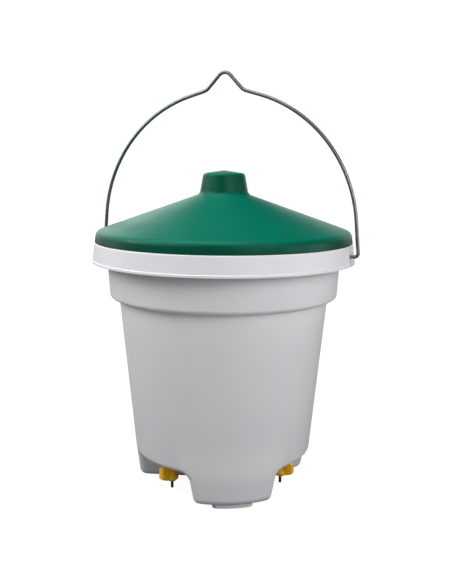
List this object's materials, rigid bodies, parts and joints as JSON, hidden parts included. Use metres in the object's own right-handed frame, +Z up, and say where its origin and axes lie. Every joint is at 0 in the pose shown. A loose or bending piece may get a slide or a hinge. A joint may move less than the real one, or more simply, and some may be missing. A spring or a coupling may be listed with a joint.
{
  "type": "nipple drinker bucket",
  "caption": "Tapered plastic drinker bucket on hollow feet, with a loose green lid, a wire bail and drinking nipples recessed under its base.",
  "frame": {"origin": "on the pail's axis, at the level of the underside of the foot pads", "axes": "+Z up along the pail's axis; the bail's pivots lie on the X axis, and the first nipple is towards +X"},
  "size_m": [0.318, 0.3, 0.4749],
  "materials": {
    "pail_plastic": "moulded, satin",
    "lid_plastic": "moulded, semi-gloss",
    "bail_wire": "zinc-plated wire",
    "nipple_plastic": "moulded, semi-gloss",
    "seal_rubber": "matte",
    "nut_plastic": "moulded, satin",
    "valve_steel": "turned stainless steel",
    "trigger_plastic": "moulded, satin"
  },
  "bodies": {
    "pail": {"pail_base": "pail_plastic", "pail_wall": "pail_plastic", "pail_collar": "pail_plastic", "pail_skirt": "pail_plastic", "nipple_1_body": "nipple_plastic", "nipple_1_gasket": "seal_rubber", "nipple_1_lock_nut": "nut_plastic", "nipple_1_valve_seat": "valve_steel", "nipple_1_inlet_cap": "nut_plastic", "nipple_2_body": "nipple_plastic", "nipple_2_gasket": "seal_rubber", "nipple_2_lock_nut": "nut_plastic", "nipple_2_valve_seat": "valve_steel", "nipple_2_inlet_cap": "nut_plastic", "nipple_3_body": "nipple_plastic", "nipple_3_gasket": "seal_rubber", "nipple_3_lock_nut": "nut_plastic", "nipple_3_valve_seat": "valve_steel", "nipple_3_inlet_cap": "nut_plastic"},
    "lid": {"lid": "lid_plastic"},
    "bail": {"bail": "bail_wire"},
    "nipple_1_valve": {"nipple_1_poppet": "valve_steel", "nipple_1_valve_ring": "seal_rubber"},
    "nipple_1_trigger": {"nipple_1_trigger_pin": "trigger_plastic"},
    "nipple_2_valve": {"nipple_2_poppet": "valve_steel", "nipple_2_valve_ring": "seal_rubber"},
    "nipple_2_trigger": {"nipple_2_trigger_pin": "trigger_plastic"},
    "nipple_3_valve": {"nipple_3_poppet": "valve_steel", "nipple_3_valve_ring": "seal_rubber"},
    "nipple_3_trigger": {"nipple_3_trigger_pin": "trigger_plastic"}
  },
  "joints": [
    {"name": "bail_swing", "type": "hinge", "parent": "pail", "child": "bail", "pos_m": [0, 0, 0.2747], "axis": [1, 0, 0], "range_deg": [-141, 141]},
    {"name": "lid_lift", "type": "slide", "parent": "pail", "child": "lid", "axis": [0, 0, 1], "range_m": [0, 0.045]},
    {"name": "nipple_1_lift", "type": "slide", "parent": "pail", "child": "nipple_1_valve", "axis": [0, 0, 1], "range_m": [0, 0.001]},
    {"name": "nipple_1_tilt", "type": "hinge", "parent": "nipple_1_valve", "child": "nipple_1_trigger", "pos_m": [0.073, 0, 0.0205], "axis": [0, 1, 0], "range_deg": [-6, 6]},
    {"name": "nipple_2_lift", "type": "slide", "parent": "pail", "child": "nipple_2_valve", "axis": [0, 0, 1], "range_m": [0, 0.001]},
    {"name": "nipple_2_tilt", "type": "hinge", "parent": "nipple_2_valve", "child": "nipple_2_trigger", "pos_m": [-0.0365, 0.06322, 0.0205], "axis": [-0.866, -0.5, 0], "range_deg": [-6, 6]},
    {"name": "nipple_3_lift", "type": "slide", "parent": "pail", "child": "nipple_3_valve", "axis": [0, 0, 1], "range_m": [0, 0.001]},
    {"name": "nipple_3_tilt", "type": "hinge", "parent": "nipple_3_valve", "child": "nipple_3_trigger", "pos_m": [-0.0365, -0.06322, 0.0205], "axis": [0.866, -0.5, 0], "range_deg": [-6, 6]}
  ]
}
